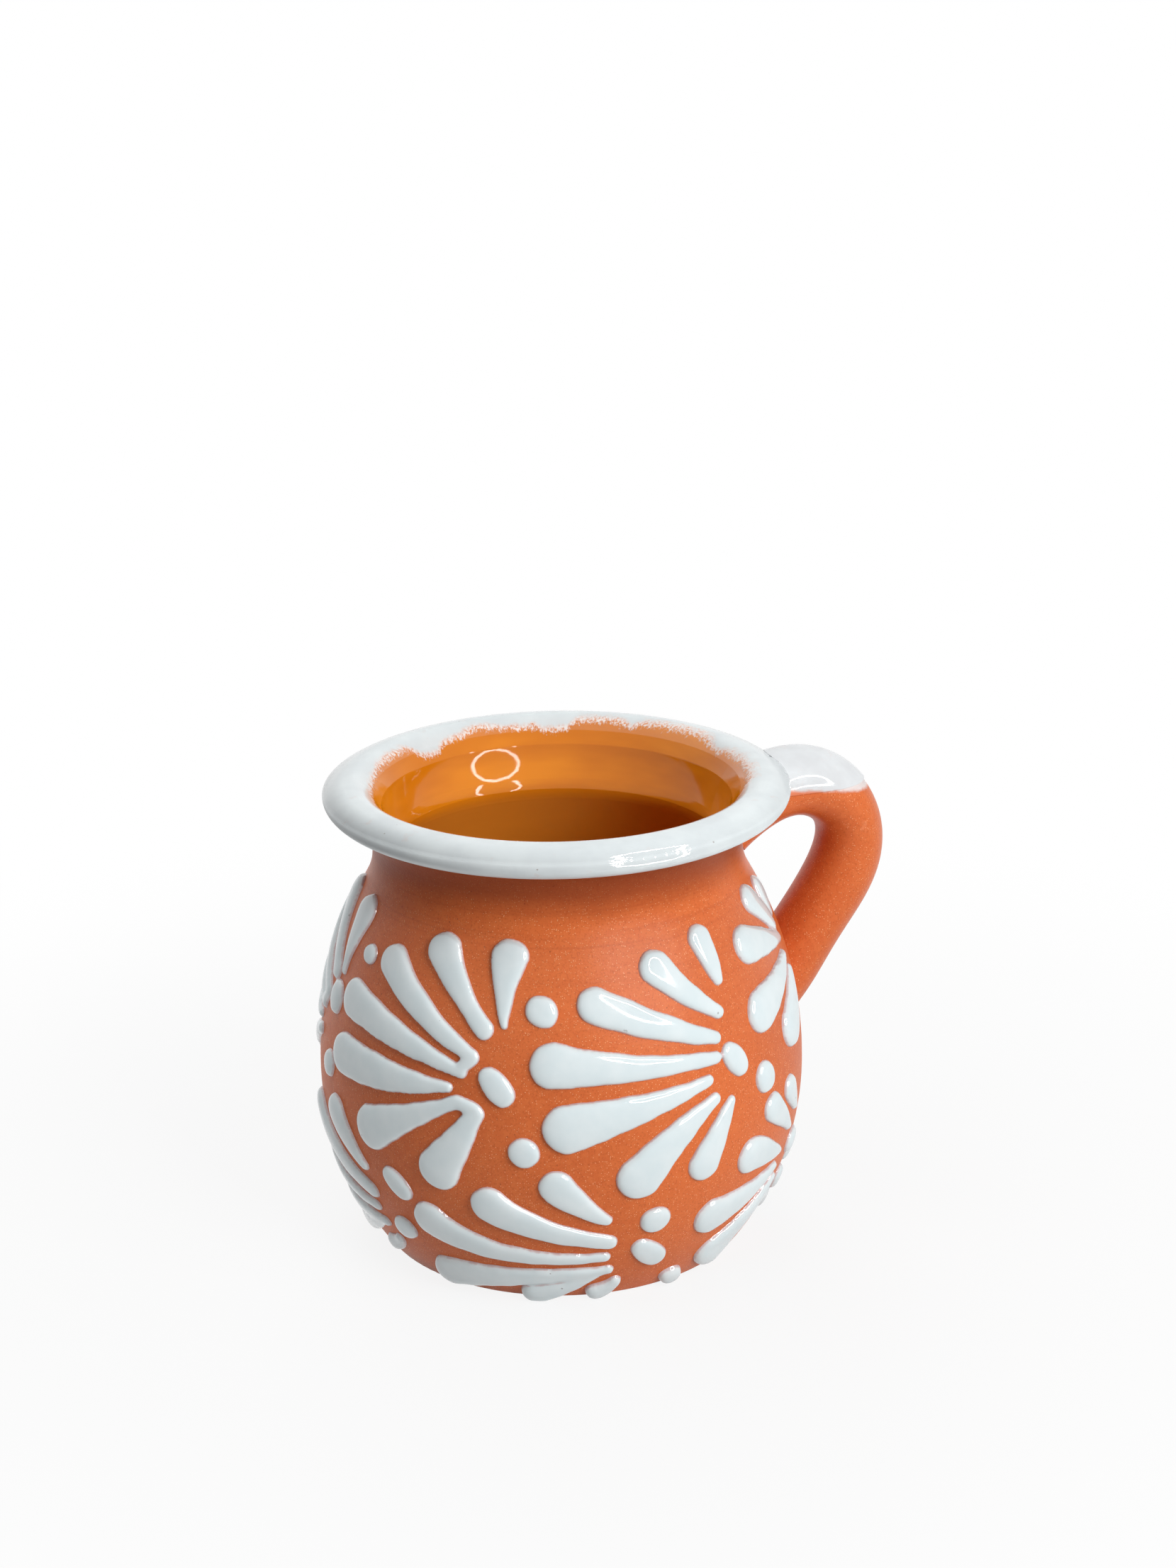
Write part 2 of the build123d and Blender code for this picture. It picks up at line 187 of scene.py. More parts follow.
side_fan = [
    ((-2.5, 10.9, 0.9), (-5.0, 13.6, 1.8), (-7.0, 16.2, 2.5)),
    ((-6.2, 8.2, 1.0), (-11.3, 11.8, 2.0), (-16.4, 15.2, 2.9)),
    ((-10.7, 4.6, 1.0), (-17.6, 6.6, 2.6), (-24.4, 8.2, 3.7)),
    ((-11.2, 1.6, 1.0), (-23.3, -0.4, 2.6), (-35.0, -1.7, 4.0)),
    ((-9.4, -1.4, 1.0), (-19.5, -7.0, 2.6), (-29.5, -11.4, 3.7)),
]
side_dots = [
    ((-0.5, 3.0, 2.4), (0.9, 3.0, 2.4)),
    ((-1.0, -4.0, 2.3), (1.0, -5.4, 2.3)),
]
# Node, the focus in degrees round and millimetres up, strokes, and the knots' scale round and up
fans = [
    ("fan_upper_1", -20.0, 57.0, handle_fan, 1, 1),
    ("fan_upper_2", -64.0, 45.0, long_fan + long_dots, 1, 1),
    ("fan_upper_3", -122.0, 45.4, wide_fan + wide_dots, 1, 1),
    ("fan_upper_4", -178.0, 45.5, wide_fan[:6] + wide_fan[7:8] + tall_dots, 1, 1),
    ("fan_upper_5", 124.0, 45.5, wide_fan + tall_dots, 1, 1),
    ("fan_upper_6", 66.0, 45.0, long_fan + long_dots[:1], 1, 1),
    ("fan_lower_1", -34.0, 17.0, side_fan + side_dots, 1, 1),
    ("fan_lower_2", -86.0, 14.0, low_fan + low_dots, 1, 1),
    ("fan_lower_3", -149.3, 17.5, low_fan + left_dots, 1, 1),
    ("fan_lower_4", 149.0, 12.3, low_fan[1:5] + middle_dot, 0.93, 0.85),
    ("fan_lower_5", 89.5, 12.3, low_fan[1:5] + middle_dot, 0.93, 0.85),
    ("fan_lower_6", 30.0, 12.3, low_fan[1:5] + middle_dot, 0.93, 0.85),
]


def clay_wall(z):
    """Radius of the clay and the lean of its outward normal, at a height."""
    hollow = z > shoulder_height
    arc = np.where(hollow, -neck_round, np.where(z > belly_height, upper_arc, lower_arc))
    lean = np.arcsin(np.clip((z - np.where(hollow, neck_height, belly_height))/arc, -1, 1))
    return np.where(hollow, neck_radius, belly_radius) - arc*(1 - np.cos(lean)), lean


def on_clay(angle, z, lift=0.0):
    """Points on the belly, raised along the normal, in millimetres."""
    radius, lean = clay_wall(z)
    turn = np.radians(angle)
    out = radius + lift*np.cos(lean)
    return np.stack([out*np.cos(turn), out*np.sin(turn), z + lift*np.sin(lean)], -1)


def stroke_samples(knots, count=22):
    """Centre points and half widths along a stroke through two or three knots."""
    t = np.linspace(0, 1, count)[:, None]
    k = np.array(knots, float)
    if len(k) == 2:
        line = k[0] + (k[1] - k[0])*t
        line[:, 2:] *= dot_end + dot_swell*4*t*(1 - t)
    else:
        line = k[0]*(1 - t)*(1 - 2*t) + 4*k[1]*t*(1 - t) + k[2]*t*(2*t - 1)
    return on_clay(line[:, 0], line[:, 1]), line[:, 2]


def fan_depth(angle, z, samples):
    """How far inside the fan's outline each spot lies, and the half width of the stroke there."""
    spot = on_clay(angle, z)
    inner = []
    widths = []
    for centre, half in samples:
        a, b = centre[:-1], centre[1:]
        ab = b - a
        rel = spot[:, None, :] - a[None]
        t = np.clip((rel*ab).sum(-1)/(ab*ab).sum(-1), 0, 1)
        gap = np.linalg.norm(rel - t[..., None]*ab, axis=-1)
        wide = half[:-1] + t*(half[1:] - half[:-1])
        nearest = (wide - gap).argmax(1)
        rows = np.arange(len(spot))
        inner.append((wide - gap)[rows, nearest])
        widths.append(wide[rows, nearest])
    inner = np.array(inner)
    widths = np.array(widths)
    best = inner.max(0)
    share = np.exp((inner - best)/slip_merge)
    depth = best + slip_merge*np.log(share.sum(0))
    wave = sum(np.sin(angle*a + z*b + c) for a, b, c in wobble_waves)
    depth = np.minimum(depth + slip_wobble*wave/len(wobble_waves), z - slip_foot)
    return depth, (share*widths).sum(0)/share.sum(0)


def softened(rise, used, inside):
    """Heights inside an outline, averaged with their neighbours so that the edge runs evenly."""
    for _ in range(soften_rounds):
        total = np.zeros(rise.shape)
        count = np.zeros(rise.shape)
        for step in np.ndindex(3, 3):
            shift = (step[0] - 1, step[1] - 1)
            near = np.roll(used, shift, (0, 1))
            total += np.where(near, np.roll(rise, shift, (0, 1)), 0)
            count += near
        rise = np.where(inside, total/np.maximum(count, 1), rise)
    return rise


def pull_to_outline(angle, z, rim, samples, turn_pitch):
    """Moves the grid's rim points, in place, onto the strokes' outline."""
    turn_rate = turn_pitch/mesh_pitch
    for _ in range(outline_rounds):
        a, h = angle[rim], z[rim]
        here = fan_depth(a, h, samples)[0]
        across = (fan_depth(a + outline_probe*turn_rate, h, samples)[0] - here)/outline_probe
        upward = (fan_depth(a, h + outline_probe, samples)[0] - here)/outline_probe
        pull = -here/np.maximum(across**2 + upward**2, outline_flattest)
        pull = np.clip(pull, -mesh_pitch, mesh_pitch)
        angle[rim] += pull*across*turn_rate
        z[rim] += pull*upward


def slip_rise(depth, half, z):
    """Height of the slip over the clay: a dome, thicker near the foot."""
    part = np.clip(depth/half, 0, 1)
    dome = (1 - (1 - part)**slip_fullness)**(1/slip_fullness)
    pooled = np.clip((slip_pool_top - z)/(slip_pool_top - slip_pool_full), 0, 1)
    return (slip_relief + slip_relief_slope*half)*dome*(1 + slip_pool*pooled)


def slip_piece(name, points, quads, depth):
    """Visual piece that stands in for a fan's node and keeps each point's depth inside the outline."""
    mesh = bpy.data.meshes.new("slip_" + name)
    mesh.from_pydata(points.tolist(), [], quads.tolist())
    mesh.validate()
    mesh.shade_smooth()
    edge = mesh.attributes.new("slip_depth", "FLOAT", "POINT")
    edge.data.foreach_set("value", depth.astype(np.float32))
    piece = bpy.data.objects.new("slip_" + name, mesh)
    scene.collection.objects.link(piece)
    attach(piece, "root")
    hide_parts(name)
    return piece


def fan_piece(name, focus_angle, focus_height, strokes, spread, lift):
    """A fan's raised slip: a fine grid laid on the belly, cut to the strokes' outline and domed."""
    placed = [[(focus_angle + a*spread, focus_height + u*lift, w) for a, u, w in knots] for knots in strokes]
    samples = [stroke_samples(knots) for knots in placed]
    flat = np.array([k for knots in placed for k in knots])
    turn_pitch = math.degrees(mesh_pitch/belly_radius)
    turn_margin = math.degrees(mesh_margin/neck_radius)
    lowest = max(slip_foot - mesh_pitch, flat[:, 1].min() - mesh_margin)
    angles = np.arange(flat[:, 0].min() - turn_margin, flat[:, 0].max() + turn_margin, turn_pitch)
    heights = np.arange(lowest, flat[:, 1].max() + mesh_margin, mesh_pitch)
    angle, z = [g.ravel() for g in np.meshgrid(angles, heights)]
    depth, half = fan_depth(angle, z, samples)

    shape = (len(heights), len(angles))
    inside = (depth > 0).reshape(shape)
    cell = inside[:-1, :-1] | inside[1:, :-1] | inside[:-1, 1:] | inside[1:, 1:]
    used = np.zeros(shape, bool)
    for dz, da in ((0, 0), (1, 0), (0, 1), (1, 1)):
        used[dz:shape[0] - 1 + dz, da:shape[1] - 1 + da] |= cell
    rim = np.flatnonzero((used & ~inside).ravel())
    pull_to_outline(angle, z, rim, samples, turn_pitch)
    depth[rim] = 0
    rise = slip_rise(depth, half, z)
    rise[rim] = -slip_root
    rise = softened(rise.reshape(shape), used, inside).ravel()

    keep = np.flatnonzero(used.ravel())
    number = np.full(used.size, -1)
    number[keep] = np.arange(len(keep))
    grid = number.reshape(shape)
    rows, cols = np.nonzero(cell)
    corners = ((rows, cols), (rows, cols + 1), (rows + 1, cols + 1), (rows + 1, cols))
    quads = np.stack([grid[corner] for corner in corners], -1)
    points = on_clay(angle[keep], z[keep], rise[keep])
    points[:, 2] = np.maximum(points[:, 2], slip_clearance)
    return slip_piece(name, points*MM, quads, depth[keep])


class Shader:
    """A small helper that builds one procedural material node by node."""

    def __init__(self, name):
        self.material = bpy.data.materials.new(name)
        self.material.use_nodes = True
        self.tree = self.material.node_tree
        self.surface = self.tree.nodes["Principled BSDF"]
        self.place = self.node("ShaderNodeTexCoord").outputs["Object"]
        parts = self.node("ShaderNodeSeparateXYZ", {0: self.place})
        self.x, self.y, self.z = parts.outputs

    def feed(self, socket, value):
        """Links an input to an output, or sets its own value."""
        if isinstance(value, bpy.types.NodeSocket):
            self.tree.links.new(value, socket)
        else:
            socket.default_value = value

    def node(self, kind, inputs=None, **settings):
        """A new node with its settings and inputs."""
        made = self.tree.nodes.new(kind)
        for key, value in settings.items():
            setattr(made, key, value)
        for key, value in (inputs or {}).items():
            self.feed(made.inputs[key], value)
        return made

    def math(self, operation, a, b=0.0, c=0.0):
        """Result of one arithmetic step."""
        return self.node("ShaderNodeMath", {0: a, 1: b, 2: c}, operation=operation).outputs[0]

    def wander(self, noise, reach):
        """Noise turned into a shift of up to half the reach either way."""
        return self.math("MULTIPLY", self.math("SUBTRACT", noise, 0.5), reach)

    def stretched(self, x, y, z):
        """Place on the mug, scaled along each axis."""
        return self.node("ShaderNodeMapping", {"Vector": self.place, "Scale": (x, y, z)}).outputs[0]

    def noise(self, scale, detail=2.0, roughness=0.5, vector=None):
        """Soft random pattern from 0 to 1."""
        inputs = {"Vector": vector or self.place, "Scale": scale, "Detail": detail, "Roughness": roughness}
        return self.node("ShaderNodeTexNoise", inputs).outputs["Fac"]

    def band(self, value, low, high, to_low=0.0, to_high=1.0):
        """Smooth step of a value from low to high."""
        inputs = {"Value": value, "From Min": low, "From Max": high, "To Min": to_low, "To Max": to_high}
        return self.node("ShaderNodeMapRange", inputs, interpolation_type="SMOOTHSTEP").outputs[0]

    def mix(self, share, a, b):
        """Colour a, with a share of colour b; 6, 7 and 2 are the node's colour sockets."""
        return self.node("ShaderNodeMix", {0: share, 6: a, 7: b}, data_type="RGBA").outputs[2]

    def specks(self, scale, size, rarity):
        """Small scattered dots: 1 in a dot, 0 elsewhere."""
        cells = self.node("ShaderNodeTexVoronoi", {"Vector": self.place, "Scale": scale})
        near = self.math("LESS_THAN", cells.outputs["Distance"], size)
        lot = self.node("ShaderNodeSeparateColor", {0: cells.outputs["Color"]}).outputs[0]
        return self.math("MULTIPLY", near, self.math("GREATER_THAN", lot, rarity))

    def bump(self, height, strength, distance, normal=None):
        """Normal tilted by a height, on top of an earlier bump if there is one."""
        inputs = {"Strength": strength, "Distance": distance, "Height": height}
        if normal is not None:
            inputs["Normal"] = normal
        return self.node("ShaderNodeBump", inputs).outputs[0]

    def finish(self, **sockets):
        """Feeds the surface's own sockets, with _ for a space in their names, and returns the material."""
        for key, value in sockets.items():
            self.feed(self.surface.inputs[key.replace("_", " ")], value)
        return self.material


def colour(red, green, blue):
    """An sRGB colour from 0 to 255 as a linear RGBA value."""
    def straight(c):
        c = c/255
        return c/12.92 if c <= 0.04045 else ((c + 0.055)/1.055)**2.4
    return (straight(red), straight(green), straight(blue), 1.0)


def dip_share(s):
    """How much of the handle's white dip covers a spot: its edge is soft and sinks towards the grip."""
    line = s.math("MULTIPLY_ADD", s.math("SUBTRACT", s.x, dip_start*MM), -dip_fall, dip_height*MM)
    above = s.math("SUBTRACT", s.z, line)
    above = s.math("ADD", above, s.wander(s.noise(420, 3, 0.6), 0.0012))
    return s.band(above, -0.0004, 0.0006)


def clay_colour(s):
    """Colour, relief and roughness of red clay with a fine grain, pale specks of mica that also stand in as
    painted glints, and pits darkened with painted shade.
    """
    grain = s.noise(2900, 2, 0.6)
    mottle = s.noise(700, 3, 0.6)
    cloud = s.noise(30, 2, 0.5)
    mica_and_glints = s.specks(3000, 0.23, 0.64)
    shaded_pits = s.specks(900, 0.14, 0.93)
    base = s.mix(s.band(cloud, 0.3, 0.72), colour(206, 101, 50), colour(217, 110, 56))
    base = s.mix(s.band(mottle, 0.35, 0.7, 0, 0.35), base, colour(224, 122, 66))
    base = s.mix(s.band(grain, 0.5, 0.72, 0, 0.42), base, colour(168, 72, 33))
    # pale mica flakes: partly their own colour, partly brightened as painted glints
    base = s.mix(s.math("MULTIPLY", mica_and_glints, 0.6), base, colour(252, 200, 150))
    # painted shade: the pits are darkened where shade falls in them
    base = s.mix(s.math("MULTIPLY", shaded_pits, 0.45), base, colour(112, 46, 24))
    relief = s.math("ADD", s.math("MULTIPLY", grain, 0.7), s.math("MULTIPLY", mottle, 0.4))
    relief = s.math("SUBTRACT", relief, shaded_pits)
    polish = s.band(s.z, polish_low*MM, polish_high*MM, 0.45, 0.36)
    shine = s.math("SUBTRACT", polish, s.math("MULTIPLY", mica_and_glints, 0.14))
    return base, relief, shine


def pot_clay(name):
    """Clay of the pot, with throwing lines on the shoulder and a band of painted shade under the lip."""
    s = Shader(name)
    base, relief, shine = clay_colour(s)
    lines = s.noise(1.0, 3, 0.6, s.stretched(16, 16, 1300))
    upper = s.band(s.z, lines_low*MM, lines_high*MM)
    base = s.mix(s.math("MULTIPLY", s.band(lines, 0.5, 0.7, 0, 0.22), upper), base, colour(176, 78, 38))
    rising = s.math("ADD", s.z, s.math("MULTIPLY", s.noise(60, 2), 0.004))
    # painted shade: clay darkened towards dark brown in a band under the lip, where its shadow falls
    base = s.mix(s.band(rising, lip_shade_low*MM, lip_shade_high*MM, 0, 0.7), base, colour(128, 54, 28))
    normal = s.bump(relief, 0.45, 0.00013)
    grooves = s.math("MULTIPLY", lines, s.band(s.z, lines_start*MM, lines_high*MM, 0.25, 1))
    normal = s.bump(grooves, 0.35, 0.00014, normal)
    sheen = s.band(s.z, sheen_low*MM, sheen_high*MM, 0.22, 0.36)
    sheen = s.math("SUBTRACT", sheen, s.band(s.z, dull_low*MM, dull_high*MM, 0, 0.28))
    return s.finish(Base_Color=base, Roughness=shine, Normal=normal, Specular_IOR_Level=sheen)


def handle_clay(name):
    """Clay of the handle, with pale rubbed streaks on the grip and a wash of white at the dip's edge."""
    s = Shader(name)
    base, relief, shine = clay_colour(s)
    rub = s.noise(1.0, 4, 0.7, s.stretched(200, 420, 90))
    grip = s.band(s.x, grip_start*MM, grip_end*MM)
    base = s.mix(s.math("MULTIPLY", s.band(rub, 0.56, 0.7, 0, 0.35), grip), base, colour(236, 168, 128))
    base = s.mix(s.math("MULTIPLY", dip_share(s), 0.9), base, colour(232, 226, 224))
    normal = s.bump(relief, 0.4, 0.00013)
    normal = s.bump(s.noise(170, 2), 0.25, 0.0003, normal)
    return s.finish(Base_Color=base, Roughness=shine, Normal=normal, Specular_IOR_Level=0.22)


def slip_enamel(name):
    """White slip under a clear glaze, thinner and pinkish at the outline of each stroke."""
    s = Shader(name)
    depth = s.node("ShaderNodeAttribute", attribute_name="slip_depth").outputs["Fac"]
    cloud = s.noise(160, 3, 0.55)
    base = s.mix(s.band(cloud, 0.3, 0.7), colour(212, 225, 228), colour(221, 231, 233))
    thin = s.math("ADD", depth, s.math("MULTIPLY", s.noise(900, 2), 0.24))
    base = s.mix(s.band(thin, 0.16, 0.42, 0.8, 0), base, colour(196, 158, 158))
    pins = s.specks(420, 0.085, 0.86)
    base = s.mix(s.math("MULTIPLY", pins, 0.55), base, colour(120, 118, 116))
    spot = on_clay(np.array(fleck_angle), np.array(fleck_height), fleck_lift)*MM
    away = s.node("ShaderNodeVectorMath", {0: s.place, 1: spot.tolist()}, operation="DISTANCE")
    away = away.outputs["Value"]
    away = s.math("ADD", away, s.math("MULTIPLY", s.noise(1500, 2), 0.0009))
    base = s.mix(s.band(away, 0.0011, 0.0008, 0, 0.85), base, colour(112, 92, 88))
    normal = s.bump(s.noise(330, 2), 0.12, 0.0001)
    normal = s.bump(pins, -0.4, 0.0001, normal)
    return s.finish(Base_Color=base, Roughness=s.band(cloud, 0.2, 0.8, 0.05, 0.09), Normal=normal, IOR=2.0)


def white_edge_drop(s):
    """How far down the white coat's edge lies inside, in millimetres, from a curve round the mouth."""
    turn = s.math("DIVIDE", s.math("ARCTAN2", s.y, s.x), 2*math.pi)
    turn = s.math("FRACT", s.math("ADD", turn, 1.0))
    curve = s.node("ShaderNodeFloatCurve", {"Value": turn})
    points = curve.mapping.curves[0].points
    points[0].location = (0, white_edge[0][1]/white_edge_scale)
    points[1].location = (1, white_edge[-1][1]/white_edge_scale)
    for degrees, far in white_edge[1:-1]:
        points.new(degrees/360, far/white_edge_scale)
    curve.mapping.update()
    return s.math("MULTIPLY", curve.outputs[0], white_edge_scale)


def lip_white(s, cloud, streak, thick):
    """White enamel with faint blushes and pinholes, streaky and pinkish where it is thin."""
    white = s.mix(s.band(cloud, 0.3, 0.7), colour(209, 216, 218), colour(220, 227, 228))
    blush = s.noise(300, 4, 0.7)
    white = s.mix(s.band(blush, 0.6, 0.74, 0, 0.3), white, colour(214, 190, 182))
    thin_white = s.mix(s.band(streak, 0.38, 0.62), colour(224, 166, 138), colour(238, 228, 222))
    white = s.mix(thick, thin_white, white)
    pins = s.specks(380, 0.07, 0.9)
    return s.mix(s.math("MULTIPLY", pins, 0.5), white, colour(128, 110, 100))


def lining_amber(s):
    """Amber glaze, paler below the throat, darker towards the bottom as painted shade, with a few burnt
    specks.
    """
    wash = s.noise(1.0, 3, 0.6, s.stretched(30, 30, 120))
    amber = s.mix(s.band(wash, 0.3, 0.7), colour(210, 118, 10), colour(230, 138, 20))
    amber = s.mix(s.band(s.z, pale_top*MM, pale_full*MM, 0, 0.8), amber, colour(236, 150, 50))
    # painted shade: the amber darkens towards the bottom, where less light reaches inside
    amber = s.mix(s.band(s.z, lining_shade_top*MM, lining_shade_full*MM, 0, 0.75), amber, colour(136, 72, 18))
    dark = s.specks(110, 0.06, 0.86)
    return s.mix(s.math("MULTIPLY", dark, 0.8), amber, colour(60, 44, 30))


def lining_relief(s):
    """Shallow hollow in which the glaze lies between throat and lip."""
    away = s.math("MAXIMUM", s.math("SUBTRACT", s.z, hollow_height*MM), hollow_low*MM)
    away = s.math("MINIMUM", away, hollow_high*MM)
    return s.math("MULTIPLY", s.math("MULTIPLY", away, away), hollow_curve)


def lip_relief(s, radius, outer):
    """The lip is rounder than its clay: it falls off outwards, and its flank is fuller below."""
    flank = s.band(s.z, lip_flank_low*MM, lip_flank_high*MM, lip_flank_swell*MM, 0)
    brow = s.math("MAXIMUM", s.math("SUBTRACT", radius, lip_brow_radius*MM), 0)
    fall = s.math("MULTIPLY", s.math("MULTIPLY", brow, brow), lip_brow_curve)
    return s.math("SUBTRACT", s.math("MULTIPLY", flank, outer), fall)


def lip_and_lining(name, ior, inside):
    """White enamel over the lip that runs out in a ragged, streaky edge on the amber glaze inside."""
    s = Shader(name)
    drop = s.math("MULTIPLY", s.math("SUBTRACT", crest_height*MM, s.z), 1/MM)
    streak = s.noise(1.0, 3, 0.7, s.stretched(2300, 2300, 330))
    blot = s.noise(480, 4, 0.65)
    ragged = s.math("ADD", s.wander(streak, 3.0), s.wander(blot, 1.5))
    radius = s.math("SQRT", s.math("ADD", s.math("MULTIPLY", s.x, s.x), s.math("MULTIPLY", s.y, s.y)))
    outer = s.math("MULTIPLY", s.math("GREATER_THAN", radius, lip_crest_radius*MM),
                   s.math("LESS_THAN", drop, lip_coat_drop))
    # millimetres inside the white coat's edge: always well inside on the lip's outer side
    margin = s.math("MAXIMUM", s.math("SUBTRACT", white_edge_drop(s), drop),
                    s.math("MULTIPLY_ADD", outer, 2*coat_depth, -coat_depth))
    white_share = s.band(s.math("ADD", margin, ragged), -0.3, 0.5)
    thick = s.band(s.math("ADD", margin, s.wander(blot, 1.5)), 0.2, 1.3)

    cloud = s.noise(120, 3, 0.55)
    base = s.mix(white_share, lining_amber(s), lip_white(s, cloud, streak, thick))
    normal = s.bump(white_share, 0.35, 0.00015)
    normal = s.bump(s.noise(130, 2), 0.1, 0.0005, normal)
    normal = s.bump(lining_relief(s) if inside else lip_relief(s, radius, outer), 1.0, 1.0, normal)
    rough = s.math("ADD", s.band(cloud, 0.3, 0.7, 0.04, 0.07),
                   s.math("MULTIPLY", white_share, s.band(thick, 0, 1, 0.2, 0.0)))
    return s.finish(Base_Color=base, Roughness=rough, Normal=normal, IOR=ior)


def handle_enamel(name):
    """White dip on the handle, thin enough near its edge that the clay shows through it."""
    s = Shader(name)
    cloud = s.noise(150, 3, 0.6)
    white = s.mix(s.band(cloud, 0.35, 0.7), colour(209, 211, 213), colour(217, 220, 222))
    white = s.mix(s.band(s.noise(260, 4, 0.7), 0.58, 0.75, 0, 0.3), white, colour(222, 196, 188))
    share = dip_share(s)
    base = s.mix(share, colour(212, 107, 54), white)
    normal = s.bump(s.noise(300, 2), 0.15, 0.00012)
    rough = s.math("ADD", s.band(cloud, 0.2, 0.8, 0.06, 0.1), s.band(share, 0, 1, 0.3, 0))
    return s.finish(Base_Color=base, Roughness=rough, Normal=normal, IOR=1.75)


def dress(piece, material):
    """Gives a piece one material."""
    piece.data.materials.clear()
    piece.data.materials.append(material)


def white_to_camera(tree, shader, lit_share, shadow_reach=None):
    """Mixes a shader with plain white that the camera and reflections see.

    Near the mug a share stays lit, so that it keeps the shadow, and that share fades out with distance.
    """
    path = tree.nodes.new("ShaderNodeLightPath")
    seen = path.outputs["Is Camera Ray"]
    for name in ("Is Glossy Ray", "Is Transmission Ray"):
        either = tree.nodes.new("ShaderNodeMath")
        either.operation = "MAXIMUM"
        tree.links.new(seen, either.inputs[0])
        tree.links.new(path.outputs[name], either.inputs[1])
        seen = either.outputs[0]
    share = tree.nodes.new("ShaderNodeMath")
    share.operation = "MULTIPLY"
    share.inputs[1].default_value = 1 - lit_share
    tree.links.new(seen, share.inputs[0])
    if shadow_reach:
        away = tree.nodes.new("ShaderNodeVectorMath")
        away.operation = "LENGTH"
        tree.links.new(tree.nodes.new("ShaderNodeTexCoord").outputs["Object"], away.inputs[0])
        fade = tree.nodes.new("ShaderNodeMapRange")
        fade.interpolation_type = "SMOOTHSTEP"
        near, far = shadow_reach
        limits = {"From Min": near, "From Max": far, "To Min": 1 - lit_share, "To Max": 1.0}
        for key, value in limits.items():
            fade.inputs[key].default_value = value
        tree.links.new(away.outputs["Value"], fade.inputs["Value"])
        tree.links.new(fade.outputs[0], share.inputs[1])
    in_world = shader.bl_idname == "ShaderNodeBackground"
    glow = tree.nodes.new("ShaderNodeBackground" if in_world else "ShaderNodeEmission")
    glow.inputs["Color"].default_value = (1, 1, 1, 1)
    glow.inputs["Strength"].default_value = 1.0
    blend = tree.nodes.new("ShaderNodeMixShader")
    tree.links.new(share.outputs[0], blend.inputs[0])
    tree.links.new(shader.outputs[0], blend.inputs[1])
    tree.links.new(glow.outputs[0], blend.inputs[2])
    return blend.outputs[0]


def area_lamp(name, azimuth, elevation, distance, width, height, power, aim=(0, 0, 0.045)):
    """A soft lamp that looks at the mug from a direction in degrees, with its sizes in metres."""
    lamp = bpy.data.lights.new(name, "AREA")
    lamp.shape = "RECTANGLE"
    lamp.size = width
    lamp.size_y = height
    lamp.energy = power
    a, e = math.radians(azimuth), math.radians(elevation)
    away = Vector((math.cos(a)*math.cos(e), math.sin(a)*math.cos(e), math.sin(e)))
    holder = bpy.data.objects.new(name, lamp)
    holder.location = Vector(aim) + away*distance
    holder.rotation_euler = (-away).to_track_quat("-Z", "Y").to_euler()
    holder.visible_camera = False
    scene.collection.objects.link(holder)
    return holder


# Slip, clay and glazes
enamel = slip_enamel("white_slip")
for fan in fans:
    dress(fan_piece(*fan), enamel)
dress(nodes["clay_body"], pot_clay("pot_clay"))
dress(nodes["handle"], handle_clay("handle_clay"))
dress(nodes["lip_glaze"], lip_and_lining("lip_enamel", 1.75, False))
dress(nodes["inside_glaze"], lip_and_lining("lining_glaze", 1.38, True))
dress(nodes["handle_glaze"], handle_enamel("handle_enamel"))

# Floor, and a world that is white behind the mug and dim to its shaded side
floor_radius = 3.0         # metres
floor_sides = 96
floor_grey = 0.62
shadow_share = 0.12        # of the floor's own shading that the camera sees near the mug
shadow_reach = (0.05, 0.24)            # metres from the mug's axis over which that fades out
room_strength = 0.06
floor_mesh = bpy.data.meshes.new("floor")
floor_turns = [2*math.pi*i/floor_sides for i in range(floor_sides)]
floor_rim = [(floor_radius*math.cos(t), floor_radius*math.sin(t), 0) for t in floor_turns]
floor_mesh.from_pydata(floor_rim, [], [list(range(floor_sides))])
floor = bpy.data.objects.new("floor", floor_mesh)
scene.collection.objects.link(floor)
paper = bpy.data.materials.new("paper")
paper.use_nodes = True
paper_nodes = paper.node_tree.nodes
paper_nodes.remove(paper_nodes["Principled BSDF"])
matt = paper_nodes.new("ShaderNodeBsdfDiffuse")
matt.inputs["Color"].default_value = (floor_grey, floor_grey, floor_grey, 1)
paper_surface = white_to_camera(paper.node_tree, matt, shadow_share, shadow_reach)
paper.node_tree.links.new(paper_surface, paper_nodes["Material Output"].inputs["Surface"])
dress(floor, paper)

world = bpy.data.worlds.new("studio")
world.use_nodes = True
scene.world = world
room = world.node_tree.nodes["Background"]
room.inputs["Color"].default_value = (0.94, 0.97, 1.0, 1)
room.inputs["Strength"].default_value = room_strength
world_surface = white_to_camera(world.node_tree, room, 0.0)
world.node_tree.links.new(world_surface, world.node_tree.nodes["World Output"].inputs["Surface"])

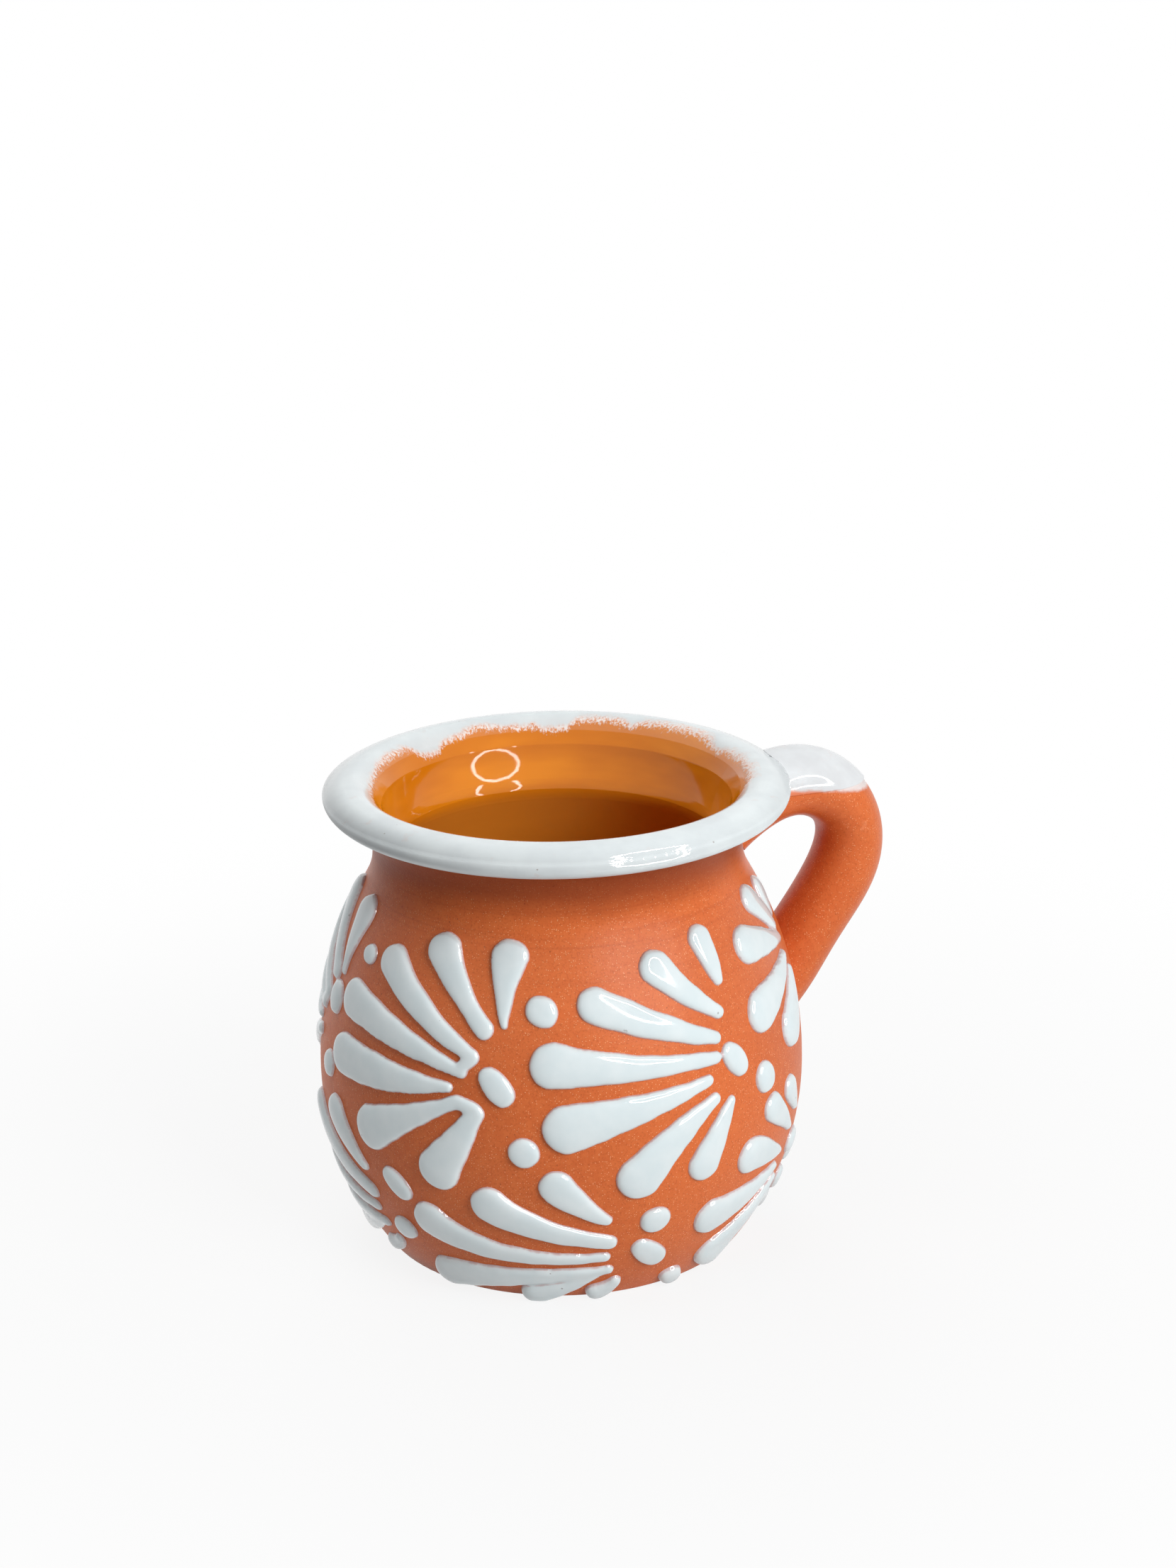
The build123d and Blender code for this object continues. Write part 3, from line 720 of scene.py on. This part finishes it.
# Lamps: soft ones on the right, above and behind, which reflections don't show, and a ring of strips
# that draws the outlined highlights; degrees round and up, distance and size in metres, watts
key = area_lamp("key", -68, 30, 0.9, 0.3, 0.3, 2.7)
top = area_lamp("top", 170, 78, 0.8, 0.6, 0.6, 3.2)
back = area_lamp("back", 85, 35, 0.9, 0.5, 0.5, 3.0)
for lamp in (key, top, back):
    lamp.visible_glossy = False
ring_azimuth, ring_elevation, ring_distance, ring_radius = -62, 27, 0.6, 0.165
ring_strips = 12
ring_width = 0.025
ring_overlap = 1.025       # of a strip's length, so that the strips meet at their corners
ring_power = 1.9
ring_length = 2*ring_overlap*ring_radius*math.tan(math.pi/ring_strips)
for i in range(ring_strips):
    lean = 2*math.pi*i/ring_strips
    lamp = area_lamp(f"ring_{i}", ring_azimuth, ring_elevation, ring_distance, ring_width, ring_length,
                     ring_power/ring_strips)
    facing = lamp.rotation_euler.to_matrix()
    lamp.location += facing @ Vector((ring_radius*math.cos(lean), ring_radius*math.sin(lean), 0))
    lamp.rotation_euler = (facing @ Matrix.Rotation(lean, 3, "Z")).to_euler()

# Camera
focal = 4000.0             # pixels of a 1659 by 2212 picture
image_height = 2212.0
camera_back = 487.71       # millimetres from the mug's axis
camera_side = 5.704
camera_up = 251.04
pitch, roll, swing = math.radians(18.717), math.radians(-0.842), math.radians(-18)
camera_data = bpy.data.cameras.new("camera")
camera_data.lens = camera_data.sensor_width*focal/image_height
camera = bpy.data.objects.new("camera", camera_data)
right = Vector((1, 0, 0))
forward = Vector((0, math.cos(pitch), -math.sin(pitch)))
upward = Vector((0, math.sin(pitch), math.cos(pitch)))
tilted_right = math.cos(roll)*right + math.sin(roll)*upward
tilted_up = -math.sin(roll)*right + math.cos(roll)*upward
turn = Matrix.Rotation(swing, 3, "Z")
axes = turn @ Matrix((tilted_right, tilted_up, -forward)).transposed()
stand = turn @ Vector((camera_side, -camera_back, camera_up))*MM
camera.matrix_world = Matrix.Translation(stand) @ axes.to_4x4()
scene.collection.objects.link(camera)
scene.camera = camera
